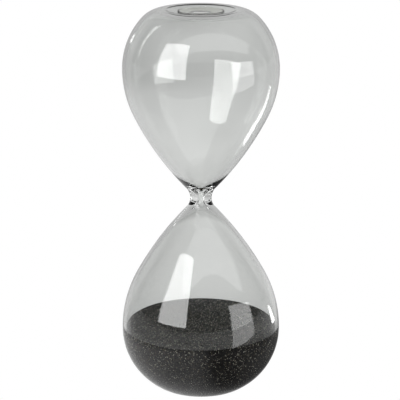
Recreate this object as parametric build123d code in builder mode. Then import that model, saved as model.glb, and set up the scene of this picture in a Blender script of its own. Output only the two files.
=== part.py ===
from build123d import *
import os
from dataclasses import dataclass
from math import asin, atan2, cos, degrees, radians, sin

# Free-standing glass hourglass, part-filled with dark sand.
#
# Two blown bulbs run in cones to a thick-walled throat with a small orifice, and all of
# that glass is fused.  Either bulb can be the lower one, so both ends are dished inside a
# ground foot ring.  The sand was poured in through a hole in the upper dish, which a
# bonded glass stopper closes.
#
# Millimetres.  +Z is up, and the origin is the centre of the lower foot ring.  An outline is
# a chain of tangent arcs: each arc is given by its radius and by the angle of the outline's
# outward normal above the horizontal, where it starts and where it ends.


@dataclass
class Bulb:
    """One bulb, measured from its foot plane towards the waist of the neck."""

    height: float  # foot plane to the waist
    foot_r: float  # outer radius of the flat foot ring
    belly_r: float  # widest outer radius
    belly_height: float  # foot plane to the widest place
    heel_share: float  # how tight the heel is: 0 is one with the belly, 1 is a sharp corner
    shoulder_lean: float  # degrees that the shoulder turns past the belly-to-waist line
    cone_lean: float  # degrees that the cone turns past the same line
    neck_fillet: float  # hollow outer radius beside the waist
    dish_depth: float  # foot plane to the middle of the dished end
    funnel_height: float  # waist to the place where the wall starts to thicken
    funnel_slope: float  # degrees from upright where the funnel is flattest


LOWER = Bulb(
    height=127.3,
    foot_r=26.0,
    belly_r=51.6,
    belly_height=38.8,
    heel_share=0.9,
    shoulder_lean=2.2,
    cone_lean=16.3,
    neck_fillet=8.9,
    dish_depth=1.8,
    funnel_height=19.0,
    funnel_slope=54.0,
)
UPPER = Bulb(
    height=122.7,
    foot_r=24.4,
    belly_r=50.0,
    belly_height=37.6,
    heel_share=0.62,
    shoulder_lean=-0.7,
    cone_lean=16.6,
    neck_fillet=10.4,
    dish_depth=3.4,
    funnel_height=20.0,
    funnel_slope=53.0,
)

# Glass shared by both bulbs
wall = 2.2
neck_r = 6.9
orifice_r = 1.45
throat_reach = 13.0  # waist to each end of the throat section
foot_ring_width = 2.0
dish_ridge = 4.0  # rounding between a dish and its foot ring

# Stopper over the filling hole in the upper end
fill_hole_r = 6.0
stopper_r = 14.8
stopper_thickness = 1.0
stopper_fillet = 0.4
stopper_gap = 0.2
spigot_length = 2.0
bond_thickness = 0.25
bond_margin = 0.5

# Sand
sand_level = 41.0
sand_gap = 0.1

# Frames of the two bulbs: local x is the radius, and local y leaves the foot plane
total_height = LOWER.height + UPPER.height
lower_frame = Plane.XZ
upper_frame = Plane(origin=(0, 0, total_height), x_dir=(1, 0, 0), z_dir=(0, 1, 0))

lower_joint_z = LOWER.height - throat_reach
upper_joint_z = LOWER.height + throat_reach


def normal(angle):
    """Outward normal of the outline at an angle above the horizontal, in degrees."""
    return Vector(cos(radians(angle)), sin(radians(angle)))


def two_radii(run, rise, first, middle, last):
    """Radii of two tangent arcs that together span run and rise.

    Their normal turns from first to middle on one arc, and on to last on the other.  A
    negative radius is a hollow arc.
    """
    span_a = normal(middle) - normal(first)
    span_b = normal(last) - normal(middle)
    det = span_a.X * span_b.Y - span_b.X * span_a.Y
    radius_a = (run * span_b.Y - span_b.X * rise) / det
    radius_b = (span_a.X * rise - run * span_a.Y) / det
    return radius_a, radius_b


def chain(start, bends):
    """Arcs (centre, radius, first, last) of tangent bends (radius, first, last)."""
    point = start
    arcs = []
    for radius, first, last in bends:
        centre = point - normal(first) * radius
        arcs.append((centre, radius, first, last))
        point = centre + normal(last) * radius
    return arcs


def dish_arcs(bulb):
    """Outside of a bulb's end: the dish from its middle, and the ridge to the foot ring."""
    run = bulb.foot_r - foot_ring_width
    turn = 2 * degrees(atan2(bulb.dish_depth, run))
    dish_r = run / sin(radians(turn)) - dish_ridge
    bends = [(-dish_r, -90, -90 - turn), (dish_ridge, -90 - turn, -90)]
    return chain(Vector(0, bulb.dish_depth), bends)


def outer_arcs(bulb):
    """Outside of a bulb: heel, belly, shoulder, cone and neck fillet."""
    heel_line = degrees(atan2(bulb.belly_r - bulb.foot_r, bulb.belly_height))
    heel = -2 * bulb.heel_share * heel_line
    heel_r, belly_arc_r = two_radii(
        bulb.belly_r - bulb.foot_r, bulb.belly_height, -90, heel, 0
    )
    cone_line = degrees(atan2(bulb.belly_r - neck_r, bulb.height - bulb.belly_height))
    shoulder = cone_line + bulb.shoulder_lean
    cone = cone_line + bulb.cone_lean
    fillet_end = Vector(neck_r + bulb.neck_fillet, bulb.height) - normal(cone) * bulb.neck_fillet
    shoulder_r, cone_r = two_radii(
        fillet_end.X - bulb.belly_r, fillet_end.Y - bulb.belly_height, 0, shoulder, cone
    )
    bends = [
        (heel_r, -90, heel),
        (belly_arc_r, heel, 0),
        (shoulder_r, 0, shoulder),
        (cone_r, shoulder, cone),
        (-bulb.neck_fillet, cone, 0),
    ]
    return chain(Vector(bulb.foot_r, 0), bends)


def inner_arcs(bulb):
    """Inside of a bulb: one wall inside the outline, then a funnel to the orifice."""
    arcs = [(centre, radius - wall, first, last) for centre, radius, first, last in outer_arcs(bulb)]
    centre, radius, first, _ = arcs[3]
    rim = degrees(asin((bulb.height - bulb.funnel_height - centre.Y) / radius))
    start = centre + normal(rim) * radius
    bowl_r, bore_r = two_radii(
        orifice_r - start.X, bulb.funnel_height, rim, bulb.funnel_slope, 0
    )
    funnel = chain(start, [(bowl_r, rim, bulb.funnel_slope), (bore_r, bulb.funnel_slope, 0)])
    return arcs[:3] + [(centre, radius, first, rim)] + funnel


def draw(arcs, inset=0.0):
    """Draw a chain of arcs, moved inwards by inset, and return its two ends."""
    for centre, radius, first, last in arcs:
        places = [centre + normal(a) * (radius - inset) for a in (first, (first + last) / 2, last)]
        ThreePointArc(*places)
    centre, radius, first, _ = arcs[0]
    return centre + normal(first) * (radius - inset), places[-1]


def draw_end(bulb, inset=0.0):
    """Draw a bulb's dish and foot ring, moved inwards by inset, and return its middle."""
    middle, ring = draw(dish_arcs(bulb), inset)
    Line(ring, (bulb.foot_r, ring.Y))
    return middle


def on_dish(bulb, frame, low, high, start_r, end_r):
    """A shell that follows the outside of a dish, from low to high above its glass."""
    centre, radius, _, _ = dish_arcs(bulb)[0]
    with BuildPart() as shell:
        with BuildSketch(frame):
            with Locations(centre):
                Circle(-radius - low)
                Circle(-radius - high, mode=Mode.SUBTRACT)
            with Locations((start_r, 0)):
                Rectangle(
                    end_r - start_r, bulb.height, align=(Align.MIN, Align.MIN), mode=Mode.INTERSECT
                )
        revolve(axis=Axis.Z)
    return shell.part


def hollow(bulb, frame, inset=0.0):
    """The space inside a bulb, from its floor to the waist, moved inwards by inset."""
    with BuildPart() as space:
        with BuildSketch(frame):
            with BuildLine():
                low = draw_end(bulb, wall + inset)
                _, high = draw(inner_arcs(bulb), inset)
                Polyline(low, (0, high.Y), high)
            make_face()
        revolve(axis=Axis.Z)
    return space.part


def glass(bulb, frame):
    """One bulb with its half of the throat, as far as the waist."""
    with BuildPart() as half:
        with BuildSketch(frame):
            with BuildLine():
                middle = draw_end(bulb)
                _, waist = draw(outer_arcs(bulb))
                Polyline(middle, (0, waist.Y), waist)
            make_face()
        revolve(axis=Axis.Z)
        add(hollow(bulb, frame), mode=Mode.SUBTRACT)
    return half.part


def shoulder_height(bulb):
    """Foot plane to the place where the shoulder runs into the cone."""
    centre, radius, _, last = outer_arcs(bulb)[2]
    return centre.Y + radius * sin(radians(last))


lower_glass = glass(LOWER, lower_frame)
upper_glass = glass(UPPER, upper_frame)
lower_shoulder_z = shoulder_height(LOWER)
upper_shoulder_z = total_height - shoulder_height(UPPER)

# Lower bulb, as far as the end of its shoulder
with BuildPart() as lower_bulb:
    add(lower_glass)
    split(bisect_by=Plane.XY.offset(lower_shoulder_z), keep=Keep.BOTTOM)

# Lower cone, from the shoulder to the throat
with BuildPart() as lower_cone:
    add(lower_glass)
    split(bisect_by=Plane.XY.offset(lower_shoulder_z), keep=Keep.TOP)
    split(bisect_by=Plane.XY.offset(lower_joint_z), keep=Keep.BOTTOM)

# Throat: the thick glass around the orifice
with BuildPart() as neck_throat:
    add(lower_glass)
    add(upper_glass)
    split(bisect_by=Plane.XY.offset(lower_joint_z), keep=Keep.TOP)
    split(bisect_by=Plane.XY.offset(upper_joint_z), keep=Keep.BOTTOM)

# Upper cone, from the throat to the shoulder
with BuildPart() as upper_cone:
    add(upper_glass)
    split(bisect_by=Plane.XY.offset(upper_joint_z), keep=Keep.TOP)
    split(bisect_by=Plane.XY.offset(upper_shoulder_z), keep=Keep.BOTTOM)

# Upper bulb, with the filling hole in the middle of its dish
with BuildPart() as upper_bulb:
    add(upper_glass)
    split(bisect_by=Plane.XY.offset(upper_shoulder_z), keep=Keep.TOP)
    with BuildSketch(Plane.XY.offset(total_height)):
        Circle(fill_hole_r)
    extrude(amount=-2 * (UPPER.dish_depth + wall), mode=Mode.SUBTRACT)

# Bond: the thin ring of clear adhesive between the dish and the stopper
with BuildPart() as stopper_bond:
    add(
        on_dish(
            UPPER, upper_frame, 0, bond_thickness, fill_hole_r + bond_margin, stopper_r - bond_margin
        )
    )

# Stopper: a watch-glass disc on the bond, with a spigot in the filling hole
with BuildPart() as fill_stopper:
    stopper_top = bond_thickness + stopper_thickness
    add(on_dish(UPPER, upper_frame, bond_thickness, stopper_top, 0, stopper_r))
    fillet(fill_stopper.edges().group_by(Axis.Z)[-1], stopper_fillet)
    with BuildSketch(Plane.XY.offset(total_height - UPPER.dish_depth + stopper_top / 2)):
        Circle(fill_hole_r - stopper_gap)
    extrude(amount=-spigot_length)

# Sand, level, resting on the floor of the lower bulb
with BuildPart() as sand_bed:
    add(hollow(LOWER, lower_frame, sand_gap))
    split(bisect_by=Plane.XY.offset(sand_level), keep=Keep.BOTTOM)

pieces = {
    "lower_bulb": lower_bulb,
    "lower_cone": lower_cone,
    "neck_throat": neck_throat,
    "upper_cone": upper_cone,
    "upper_bulb": upper_bulb,
    "stopper_bond": stopper_bond,
    "fill_stopper": fill_stopper,
    "sand_bed": sand_bed,
}
os.makedirs("parts", exist_ok=True)
for name, piece in pieces.items():
    piece.part.label = name
    export_step(piece.part, f"parts/{name}.step")
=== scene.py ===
"""Free-standing glass hourglass with dark sand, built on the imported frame."""
import math
from dataclasses import dataclass

import bpy
import numpy as np
from mathutils import Matrix, Vector, noise


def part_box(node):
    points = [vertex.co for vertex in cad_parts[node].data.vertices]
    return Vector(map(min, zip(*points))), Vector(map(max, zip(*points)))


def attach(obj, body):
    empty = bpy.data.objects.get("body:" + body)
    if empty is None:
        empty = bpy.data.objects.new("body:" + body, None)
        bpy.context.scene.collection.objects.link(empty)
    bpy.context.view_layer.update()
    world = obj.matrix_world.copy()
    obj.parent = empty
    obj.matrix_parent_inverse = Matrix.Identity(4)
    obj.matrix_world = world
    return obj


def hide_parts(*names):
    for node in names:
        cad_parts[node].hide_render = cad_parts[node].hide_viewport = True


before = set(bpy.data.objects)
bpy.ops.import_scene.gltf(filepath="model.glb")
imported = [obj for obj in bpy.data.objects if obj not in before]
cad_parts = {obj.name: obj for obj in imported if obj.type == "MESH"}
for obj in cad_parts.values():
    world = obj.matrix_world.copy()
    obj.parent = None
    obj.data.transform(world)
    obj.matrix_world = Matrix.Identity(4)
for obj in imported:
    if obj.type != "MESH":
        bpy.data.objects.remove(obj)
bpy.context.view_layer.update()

MM = 0.001
TURN = 2 * math.pi


# ------------------------------------------------------------ dimensions, in millimetres


@dataclass
class Bulb:
    """One bulb, measured from its foot plane towards the waist of the neck."""

    height: float
    foot_r: float
    belly_r: float
    belly_height: float
    heel_share: float
    shoulder_lean: float
    cone_lean: float
    neck_fillet: float
    dish_depth: float
    funnel_height: float
    funnel_slope: float


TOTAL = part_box("upper_bulb")[1].z / MM
WAIST = 127.3
LOWER = Bulb(
    height=WAIST,
    foot_r=26.0,
    belly_r=51.6,
    belly_height=38.8,
    heel_share=0.9,
    shoulder_lean=2.2,
    cone_lean=16.3,
    neck_fillet=8.9,
    dish_depth=1.8,
    funnel_height=19.0,
    funnel_slope=54.0,
)
UPPER = Bulb(
    height=TOTAL - WAIST,
    foot_r=24.4,
    belly_r=50.0,
    belly_height=37.6,
    heel_share=0.62,
    shoulder_lean=-0.7,
    cone_lean=16.6,
    neck_fillet=10.4,
    dish_depth=3.4,
    funnel_height=20.0,
    funnel_slope=53.0,
)
WALL = 2.2
NECK_R = 6.9
ORIFICE_R = 1.45
FOOT_RING = 2.0  # width of the flat ring that a bulb stands on
DISH_RIDGE = 4.0  # radius of the ridge between the dish and the foot ring

STOPPER_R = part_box("fill_stopper")[1].x / MM
SPIGOT_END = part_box("fill_stopper")[0].z / MM
STOPPER_THICKNESS = 1.0
STOPPER_ROUND = 0.4
STOPPER_GAP = 0.2  # between the spigot and the filling hole
SPIGOT_CHAMFER = 0.4
FILL_HOLE_R = 6.0
BOND_THICKNESS = 0.25
BOND_MARGIN = 0.5  # from the bond to the hole and to the edge of the stopper

SAND_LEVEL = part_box("sand_bed")[1].z / MM
SAND_PRESS = 0.15  # how far the sand reaches into the glass, so that no air gap shows


# ------------------------------------------------------------ outlines, as (radius, height)


def normal(angle):
    """Outward normal of an outline at an angle above the horizontal, in degrees."""
    return np.array([math.cos(math.radians(angle)), math.sin(math.radians(angle))])


def two_radii(run, rise, first, middle, last):
    """Radii of two tangent arcs that span run and rise as their normal turns."""
    span_a = normal(middle) - normal(first)
    span_b = normal(last) - normal(middle)
    det = span_a[0] * span_b[1] - span_b[0] * span_a[1]
    radius_a = (run * span_b[1] - span_b[0] * rise) / det
    radius_b = (span_a[0] * rise - run * span_a[1]) / det
    return radius_a, radius_b


def chain(start, bends):
    """Arcs (centre, radius, first, last) of tangent bends (radius, first, last)."""
    point = np.array(start, float)
    arcs = []
    for radius, first, last in bends:
        centre = point - normal(first) * radius
        arcs.append((centre, radius, first, last))
        point = centre + normal(last) * radius
    return arcs


def dish_arcs(bulb):
    """Outside of a bulb's end: the dish from its middle, and the ridge to the foot ring."""
    run = bulb.foot_r - FOOT_RING
    turn = 2 * math.degrees(math.atan2(bulb.dish_depth, run))
    dish_r = run / math.sin(math.radians(turn)) - DISH_RIDGE
    bends = [(-dish_r, -90, -90 - turn), (DISH_RIDGE, -90 - turn, -90)]
    return chain((0, bulb.dish_depth), bends)


def outer_arcs(bulb):
    """Outside of a bulb: heel, belly, shoulder, cone and neck fillet."""
    heel_line = math.degrees(math.atan2(bulb.belly_r - bulb.foot_r, bulb.belly_height))
    heel = -2 * bulb.heel_share * heel_line
    heel_r, belly_arc_r = two_radii(bulb.belly_r - bulb.foot_r, bulb.belly_height, -90, heel, 0)
    cone_line = math.degrees(math.atan2(bulb.belly_r - NECK_R, bulb.height - bulb.belly_height))
    shoulder = cone_line + bulb.shoulder_lean
    cone = cone_line + bulb.cone_lean
    fillet_centre = np.array([NECK_R + bulb.neck_fillet, bulb.height])
    fillet_end = fillet_centre - normal(cone) * bulb.neck_fillet
    run, rise = fillet_end - (bulb.belly_r, bulb.belly_height)
    shoulder_r, cone_r = two_radii(run, rise, 0, shoulder, cone)
    bends = [
        (heel_r, -90, heel),
        (belly_arc_r, heel, 0),
        (shoulder_r, 0, shoulder),
        (cone_r, shoulder, cone),
        (-bulb.neck_fillet, cone, 0),
    ]
    return chain((bulb.foot_r, 0), bends)


def inner_arcs(bulb):
    """Inside of a bulb: one wall inside the outline, then a funnel to the orifice."""
    arcs = [(centre, size - WALL, first, last) for centre, size, first, last in outer_arcs(bulb)]
    centre, radius, first, _ = arcs[3]
    rim = math.degrees(math.asin((bulb.height - bulb.funnel_height - centre[1]) / radius))
    start = centre + normal(rim) * radius
    bowl_r, bore_r = two_radii(ORIFICE_R - start[0], bulb.funnel_height, rim, bulb.funnel_slope, 0)
    funnel = chain(start, [(bowl_r, rim, bulb.funnel_slope), (bore_r, bulb.funnel_slope, 0)])
    return arcs[:3] + [(centre, radius, first, rim)] + funnel


def sample(arcs, inset=0.0):
    """Points along a chain of arcs moved inwards, at most 2 mm and 1.5 degrees apart."""
    points = []
    for centre, radius, first, last in arcs:
        size = radius - inset
        turn = abs(last - first)
        count = max(4, math.ceil(turn / 1.5), math.ceil(abs(size) * math.radians(turn) / 2.0))
        for angle in np.linspace(first, last, count + 1)[bool(points) :]:
            points.append(centre + normal(angle) * size)
    return np.array(points)


def on_dish(bulb, above, first_r, last_r, count=12):
    """Points along a bulb's dish, at a height above its outside."""
    centre, radius, _, _ = dish_arcs(bulb)[0]
    size = -radius - above
    radii = np.linspace(first_r, last_r, count)
    return np.array([(r, centre[1] + math.sqrt(size**2 - r**2)) for r in radii])


def bulb_outline(bulb, arcs, hole_r, inset=0.0):
    """One side of a bulb's glass: dish, foot ring and arcs, from the hole to the waist."""
    end = sample(dish_arcs(bulb), inset)
    end = np.concatenate([on_dish(bulb, -inset, hole_r, hole_r, 1), end[end[:, 0] > hole_r + 0.3]])
    ring = [(r, inset) for r in np.linspace(bulb.foot_r - FOOT_RING, bulb.foot_r, 4)[1:-1]]
    return np.concatenate([end, ring, arcs])


def turned_over(points):
    """An outline of the upper bulb in the hourglass's own frame."""
    return points * (1, -1) + (0, TOTAL)


# ------------------------------------------------------------ meshes


def link(name, mesh, *materials):
    """Put a finished mesh into the scene as a piece that rides on the root body."""
    for material in materials:
        mesh.materials.append(material)
    piece = bpy.data.objects.new(name, mesh)
    bpy.context.collection.objects.link(piece)
    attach(piece, "root")
    return piece


def revolve(name, outline, segments=192, closed=False, shape=None):
    """A smooth body of revolution; shape moves each point of the finished surface.

    The outline runs up the outside.  An open outline starts and ends on the axis.
    """
    rings = []
    points = []
    for r, z in outline:
        count = segments if r > 1e-6 else 1
        rings.append(range(len(points), len(points) + count))
        for k in range(count):
            angle = TURN * k / segments
            points.append(Vector((r * math.cos(angle), r * math.sin(angle), z)))
    faces = []
    pairs = list(zip(rings, rings[1:] + rings[:1]))
    for low, high in pairs if closed else pairs[:-1]:
        for k in range(segments):
            j = (k + 1) % segments
            steps = ((low, k), (low, j), (high, j), (high, k))
            face = tuple(dict.fromkeys(ring[step % len(ring)] for ring, step in steps))
            if len(face) > 2:
                faces.append(face)
    if shape:
        points = [shape(point) for point in points]
    mesh = bpy.data.meshes.new(name)
    mesh.from_pydata([point * MM for point in points], [], faces)
    mesh.shade_smooth()
    return mesh


def blown(point):
    """The small unevenness of hand-blown glass, which fades out at the neck and feet."""
    r = math.hypot(point.x, point.y)
    if r < 1e-6:
        return point
    angle = math.atan2(point.y, point.x)
    share = min(1.0, abs(point.z - WAIST) / 40.0) * min(1.0, r / 30.0)
    oval = 0.12 * math.cos(2 * angle + 0.7 + 2.0 * point.z / TOTAL)
    ripple = 0.10 * noise.noise(Vector((point.x / 34, point.y / 34, point.z / 46)))
    grow = 1 + (oval + ripple) * share / r
    return Vector((point.x * grow, point.y * grow, point.z))


# ------------------------------------------------------------ materials


def principled(name, **values):
    """A material with its nodes, its links and its Principled shader."""
    material = bpy.data.materials.new(name)
    material.use_nodes = True
    nodes = material.node_tree.nodes
    shader = nodes["Principled BSDF"]
    for key, value in values.items():
        shader.inputs[key.replace("_", " ")].default_value = value
    return material, nodes, material.node_tree.links, shader


def set_stops(ramp, stops):
    """Give a colour ramp its stops, as (position, colour)."""
    elements = ramp.color_ramp.elements
    while len(elements) < len(stops):
        elements.new(1.0)
    for element, (position, colour) in zip(elements, stops):
        element.position = position
        element.color = (*colour, 1)


def glass_material(name, tint, ripple=0.02):
    """Clear glass with a faint tint and the long soft ripples of blown glass."""
    material, nodes, links, shader = principled(
        name, Base_Color=(*tint, 1), Roughness=0.0, IOR=1.5, Transmission_Weight=1.0
    )
    place = nodes.new("ShaderNodeTexCoord")
    waves = nodes.new("ShaderNodeTexNoise")
    waves.inputs["Scale"].default_value = 42.0
    waves.inputs["Detail"].default_value = 1.5
    bump = nodes.new("ShaderNodeBump")
    bump.inputs["Strength"].default_value = ripple
    bump.inputs["Distance"].default_value = 0.002
    links.new(place.outputs["Object"], waves.inputs["Vector"])
    links.new(waves.outputs["Fac"], bump.inputs["Height"])
    links.new(bump.outputs["Normal"], shader.inputs["Normal"])
    return material


def sand_material():
    """Near-black sand with brown, golden and pale grains whose facets glint."""
    material, nodes, links, shader = principled(
        "black_sand", Roughness=0.42, IOR=1.5, Specular_IOR_Level=0.15
    )
    place = nodes.new("ShaderNodeTexCoord")
    cells = nodes.new("ShaderNodeTexVoronoi")
    cells.inputs["Scale"].default_value = 2600.0
    split = nodes.new("ShaderNodeSeparateColor")
    ramp = nodes.new("ShaderNodeValToRGB")
    ramp.color_ramp.interpolation = "CONSTANT"
    stops = [  # each colour, and the random value from which grains have it
        (0.0, (0.001, 0.001, 0.001)),
        (0.42, (0.003, 0.003, 0.0025)),
        (0.68, (0.009, 0.008, 0.006)),
        (0.82, (0.028, 0.024, 0.016)),
        (0.90, (0.15, 0.125, 0.08)),
        (0.96, (0.85, 0.82, 0.70)),
    ]
    set_stops(ramp, stops)
    surface = nodes.new("ShaderNodeNewGeometry")
    centred = nodes.new("ShaderNodeVectorMath")
    centred.operation = "SUBTRACT"
    centred.inputs[1].default_value = (0.5, 0.5, 0.5)
    facet = nodes.new("ShaderNodeVectorMath")
    facet.operation = "MULTIPLY_ADD"
    facet.inputs[1].default_value = (1.3, 1.3, 1.3)
    unit = nodes.new("ShaderNodeVectorMath")
    unit.operation = "NORMALIZE"
    links.new(place.outputs["Object"], cells.inputs["Vector"])
    links.new(cells.outputs["Color"], split.inputs["Color"])
    links.new(split.outputs["Red"], ramp.inputs["Fac"])
    links.new(ramp.outputs["Color"], shader.inputs["Base Color"])
    links.new(cells.outputs["Color"], centred.inputs[0])
    links.new(centred.outputs[0], facet.inputs[0])
    links.new(surface.outputs["Normal"], facet.inputs[2])
    links.new(facet.outputs[0], unit.inputs[0])
    links.new(unit.outputs[0], shader.inputs["Normal"])
    return material


bulb_glass = glass_material("bulb_glass", (0.93, 0.94, 0.93))
stopper_glass = glass_material("stopper_glass", (0.93, 0.94, 0.92))
bond_clear = glass_material("bond_clear", (0.90, 0.90, 0.86))
black_sand = sand_material()


# ------------------------------------------------------------ glass


def build_glass():
    """Both bulbs and the neck: one closed body, open inside from floor to floor."""
    lower_outside = bulb_outline(LOWER, sample(outer_arcs(LOWER)), 0)
    lower_inside = bulb_outline(LOWER, sample(inner_arcs(LOWER)), 0, WALL)
    upper_outside = turned_over(bulb_outline(UPPER, sample(outer_arcs(UPPER)), FILL_HOLE_R))
    upper_inside = turned_over(bulb_outline(UPPER, sample(inner_arcs(UPPER)), FILL_HOLE_R, WALL))
    outline = np.concatenate(
        [lower_outside, upper_outside[-2::-1], upper_inside, lower_inside[-2::-1]]
    )
    mesh = revolve("blown_glass", outline, shape=blown)
    piece = link("blown_glass", mesh, bulb_glass)
    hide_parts("lower_bulb", "lower_cone", "neck_throat", "upper_cone", "upper_bulb")


def build_stopper():
    """The watch-glass disc with its spigot, and the clear adhesive under it."""
    top = BOND_THICKNESS + STOPPER_THICKNESS
    spigot_r = FILL_HOLE_R - STOPPER_GAP
    under = turned_over(on_dish(UPPER, BOND_THICKNESS, spigot_r, STOPPER_R))
    over = turned_over(on_dish(UPPER, top, STOPPER_R, 0, 18))
    corner = over[0] - (STOPPER_ROUND, STOPPER_ROUND)
    rim = [corner + normal(angle) * STOPPER_ROUND for angle in np.linspace(0, 75, 6)]
    spigot = [
        (0, SPIGOT_END),
        (spigot_r - SPIGOT_CHAMFER, SPIGOT_END),
        (spigot_r, SPIGOT_END + SPIGOT_CHAMFER),
    ]
    outline = np.concatenate([spigot, under, rim, over[over[:, 0] < STOPPER_R - STOPPER_ROUND]])
    piece = link("stopper_disc", revolve("stopper_disc", outline), stopper_glass)
    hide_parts("fill_stopper")
    low, high = FILL_HOLE_R + BOND_MARGIN, STOPPER_R - BOND_MARGIN
    ring = np.concatenate(
        [on_dish(UPPER, 0, low, high), on_dish(UPPER, BOND_THICKNESS, high, low)]
    )
    adhesive = revolve("stopper_adhesive", turned_over(ring), closed=True)
    piece = link("stopper_adhesive", adhesive, bond_clear)
    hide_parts("stopper_bond")


# ------------------------------------------------------------ sand


def settled(point):
    """The uneven surface that fallen sand has; the rest of the sand stays put."""
    if point.z < SAND_LEVEL - 1e-6:
        return point
    drift = noise.noise(Vector((point.x / 26, point.y / 26, 3.1)))
    return Vector((point.x, point.y, point.z + 1.1 * drift - 0.018 * point.x))


def build_sand():
    """The sand, up to its uneven surface."""
    side = bulb_outline(LOWER, sample(inner_arcs(LOWER), -SAND_PRESS), 0, WALL - SAND_PRESS)
    high = int(np.argmax(side[:, 1] > SAND_LEVEL))
    edge_r = np.interp(SAND_LEVEL, side[high - 1 : high + 1, 1], side[high - 1 : high + 1, 0])
    top = [(r, SAND_LEVEL) for r in np.linspace(edge_r, 0, 90)]
    outline = np.concatenate([side[:high], top])
    mesh = revolve("sand_heap", outline, segments=240, shape=settled)
    piece = link("sand_heap", mesh, black_sand)
    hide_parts("sand_bed")


build_glass()
build_stopper()
build_sand()


# ------------------------------------------------------------ stage, light and camera


def compass(azimuth):
    """Level unit vector; azimuth 0 points at the camera and 90 along +X."""
    a = math.radians(azimuth)
    return Vector((math.sin(a), -math.cos(a), 0))


def area_light(name, place, axes, width, height, radiance):
    """A rectangular lamp that the camera doesn't see; it shines against its third axis."""
    data = bpy.data.lights.new(name, "AREA")
    data.shape = "RECTANGLE"
    data.size = width
    data.size_y = height
    data.energy = radiance * math.pi * width * height
    lamp = bpy.data.objects.new(name, data)
    lamp.matrix_world = Matrix.Translation(place) @ Matrix(axes).transposed().to_4x4()
    lamp.visible_camera = False
    bpy.context.collection.objects.link(lamp)


def panel(name, azimuth, elevation, distance, across, width, height, radiance, centre_z=0.12):
    """A softbox that faces the hourglass from a direction, shifted across its own plane."""
    out = compass(azimuth) * math.cos(math.radians(elevation))
    out.z = math.sin(math.radians(elevation))
    side = compass(azimuth + 90)
    place = out * distance + side * across + Vector((0, 0, centre_z))
    area_light(name, place, (side, out.cross(side), out), width, height, radiance)


def shown_white(nodes, links, shader, output):
    """Let the camera see plain white, while the glass sees the studio's greys: the world's light,
    and the floor's painted glow.
    """
    path = nodes.new("ShaderNodeLightPath")
    white = nodes.new("ShaderNodeEmission")
    mix = nodes.new("ShaderNodeMixShader")
    links.new(path.outputs["Is Camera Ray"], mix.inputs["Fac"])
    links.new(shader.outputs[0], mix.inputs[1])
    links.new(white.outputs[0], mix.inputs[2])
    links.new(mix.outputs[0], output.inputs["Surface"])


FLOOR_RADIUS = 12.0
FLOOR_SIDES = 96
# middle of the painted shadow in the floor's glow, in metres
PAINTED_SHADOW_CENTRE = (0.05, -0.03, 0)
CEILING_GREY = 0.42
STRIP_LIFT = 0.002

# Greys of the floor's painted glow by distance, in metres: from the axis, with painted shade near
# it, along X, and from the middle of the painted shadow
FLOOR_PAINTED_GLOW_REACH = [(0.04, 0.06), (0.10, 0.45), (0.20, 0.58), (0.60, 0.64), (0.76, 0.55), (1.0, 0.50)]
FLOOR_PAINTED_GLOW_WIDTH = [(-0.6, 0.74), (-0.2, 0.80), (0.0, 1.0), (0.12, 1.06)]
FLOOR_PAINTED_SHADOW = [(0.08, 0.1), (0.17, 1.0)]
# Greys of the world by direction: along X well below the horizon, and along Y elsewhere
WORLD_BELOW = [
    (-0.9, 1.0),
    (-0.7, 0.9),
    (-0.45, 0.75),
    (-0.1, 0.68),
    (0.05, 0.5),
    (0.25, 0.16),
    (0.45, 0.12),
    (0.8, 0.25),
]
WORLD_DEPTH = [
    (-0.5, 0.03),
    (-0.2, 0.06),
    (0.2, 0.08),
    (0.40, 0.16),
    (0.46, 0.14),
    (0.52, 0.16),
    (0.57, 0.48),
    (1.0, 0.53),
]


def grey_ramp(nodes, links, value, span, stops):
    """Greys that follow a value, as (value, grey) stops within a span."""
    low, high = span
    place = nodes.new("ShaderNodeMapRange")
    place.inputs["From Min"].default_value = low
    place.inputs["From Max"].default_value = high
    ramp = nodes.new("ShaderNodeValToRGB")
    set_stops(ramp, [((at - low) / (high - low), (grey, grey, grey)) for at, grey in stops])
    links.new(value, place.inputs["Value"])
    links.new(place.outputs["Result"], ramp.inputs["Fac"])
    return ramp.outputs["Color"]


def times(nodes, links, a, b):
    """The product of two values."""
    product = nodes.new("ShaderNodeMath")
    product.operation = "MULTIPLY"
    links.new(a, product.inputs[0])
    links.new(b, product.inputs[1])
    return product.outputs[0]


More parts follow.
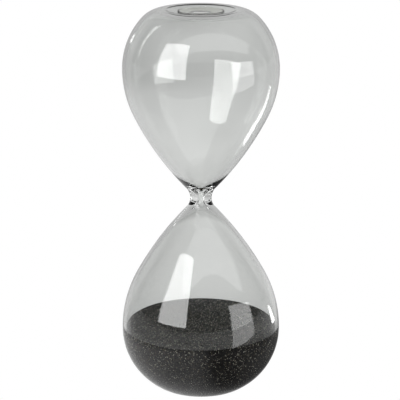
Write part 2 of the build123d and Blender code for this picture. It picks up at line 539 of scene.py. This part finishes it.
def build_floor():
    """A round floor whose painted glow is dark around the hourglass and in its painted shadow."""
    angles = [TURN * k / FLOOR_SIDES for k in range(FLOOR_SIDES)]
    ring = [(FLOOR_RADIUS * math.cos(a), FLOOR_RADIUS * math.sin(a), 0) for a in angles]
    mesh = bpy.data.meshes.new("floor")
    mesh.from_pydata(ring, [], [tuple(range(FLOOR_SIDES))])
    material, nodes, links, shader = principled(
        "white_floor", Base_Color=(0.16, 0.16, 0.16, 1), Roughness=0.8
    )
    place = nodes.new("ShaderNodeTexCoord")
    split = nodes.new("ShaderNodeSeparateXYZ")
    links.new(place.outputs["Object"], split.inputs[0])
    shadow = nodes.new("ShaderNodeVectorMath")
    shadow.operation = "DISTANCE"
    shadow.inputs[1].default_value = PAINTED_SHADOW_CENTRE
    links.new(place.outputs["Object"], shadow.inputs[0])
    away = nodes.new("ShaderNodeVectorMath")
    away.operation = "LENGTH"
    links.new(place.outputs["Object"], away.inputs[0])
    painted_glow_by_reach = grey_ramp(nodes, links, away.outputs["Value"], (0.0, 1.0), FLOOR_PAINTED_GLOW_REACH)
    width = grey_ramp(nodes, links, split.outputs["X"], (-0.6, 0.6), FLOOR_PAINTED_GLOW_WIDTH)
    shade = grey_ramp(nodes, links, shadow.outputs["Value"], (0.0, 0.2), FLOOR_PAINTED_SHADOW)
    # painted light: the floor glows with these painted greys, including painted shade near the
    # hourglass and a painted shadow
    painted_glow = times(nodes, links, times(nodes, links, painted_glow_by_reach, width), shade)
    links.new(painted_glow, shader.inputs["Emission Strength"])
    shader.inputs["Emission Color"].default_value = (1, 1, 1, 1)
    shown_white(nodes, links, shader, nodes["Material Output"])
    mesh.materials.append(material)
    floor = bpy.data.objects.new("floor", mesh)
    floor.visible_glossy = False
    bpy.context.collection.objects.link(floor)


def build_world():
    """A pale backdrop behind the hourglass, a dark room in front and a grey ceiling."""
    world = bpy.data.worlds.new("studio")
    bpy.context.scene.world = world
    world.use_nodes = True
    nodes = world.node_tree.nodes
    links = world.node_tree.links
    background = nodes["Background"]
    place = nodes.new("ShaderNodeTexCoord")
    split = nodes.new("ShaderNodeSeparateXYZ")
    links.new(place.outputs["Generated"], split.inputs[0])
    grey = grey_ramp(nodes, links, split.outputs["Y"], (-1.0, 1.0), WORLD_DEPTH)
    below = grey_ramp(nodes, links, split.outputs["X"], (-1.0, 1.0), WORLD_BELOW)
    share = nodes.new("ShaderNodeMapRange")
    share.inputs["From Min"].default_value = -0.22
    share.inputs["From Max"].default_value = -0.38
    mix = nodes.new("ShaderNodeMix")
    mix.data_type = "RGBA"
    links.new(split.outputs["Z"], share.inputs["Value"])
    links.new(share.outputs["Result"], mix.inputs["Factor"])
    links.new(grey, mix.inputs["A"])
    links.new(below, mix.inputs["B"])
    ceiling = nodes.new("ShaderNodeMapRange")
    ceiling.inputs["From Min"].default_value = 0.35
    ceiling.inputs["From Max"].default_value = 0.7
    top = nodes.new("ShaderNodeMix")
    top.data_type = "RGBA"
    top.inputs["B"].default_value = (CEILING_GREY, CEILING_GREY, CEILING_GREY, 1)
    links.new(split.outputs["Z"], ceiling.inputs["Value"])
    links.new(ceiling.outputs["Result"], top.inputs["Factor"])
    links.new(mix.outputs["Result"], top.inputs["A"])
    links.new(top.outputs["Result"], background.inputs["Color"])
    shown_white(nodes, links, background, nodes["World Output"])


def table_strip(name, azimuth, near, far, width, radiance):
    """A narrow strip that lies on the table, pointing at the hourglass, and shines upwards."""
    out = compass(azimuth)
    place = out * (near + far) / 2 + Vector((0, 0, STRIP_LIFT))
    axes = (compass(azimuth + 90), out, Vector((0, 0, -1)))
    area_light(name, place, axes, width, far - near, radiance)


def build_lights():
    """The lamps, placed by the highlights that they give."""
    panel("key_softbox", -27, 0, 1.0, -0.36, 0.90, 1.14, 4.8, centre_z=0.68)
    panel("right_panel", 30, 0, 1.7, 1.32, 1.72, 1.26, 3.0, centre_z=0.12)
    panel("overhead_panel", 15, 55, 1.1, 0.35, 2.6, 0.50, 0.9)
    panel("rim_strip", -145, 0, 0.9, 0.0, 0.03, 0.08, 3.5, centre_z=0.31)
    table_strip("table_strip", 122, 0.20, 0.72, 0.03, 4.5)


def build_camera():
    """The camera, fitted to the outline of the hourglass."""
    data = bpy.data.cameras.new("camera")
    data.sensor_width = 36.0
    data.lens = 145.33
    camera = bpy.data.objects.new("camera", data)
    camera.location = (0.0, -1.0053, 0.4133)
    camera.rotation_euler = (math.radians(90 - 15.964), 0.0, math.radians(0.032))
    bpy.context.collection.objects.link(camera)
    scene = bpy.context.scene
    scene.camera = camera
    scene.view_settings.view_transform = "Standard"
    scene.cycles.max_bounces = 28
    scene.cycles.transmission_bounces = 24
    scene.cycles.transparent_max_bounces = 16


build_floor()
build_world()
build_lights()
build_camera()
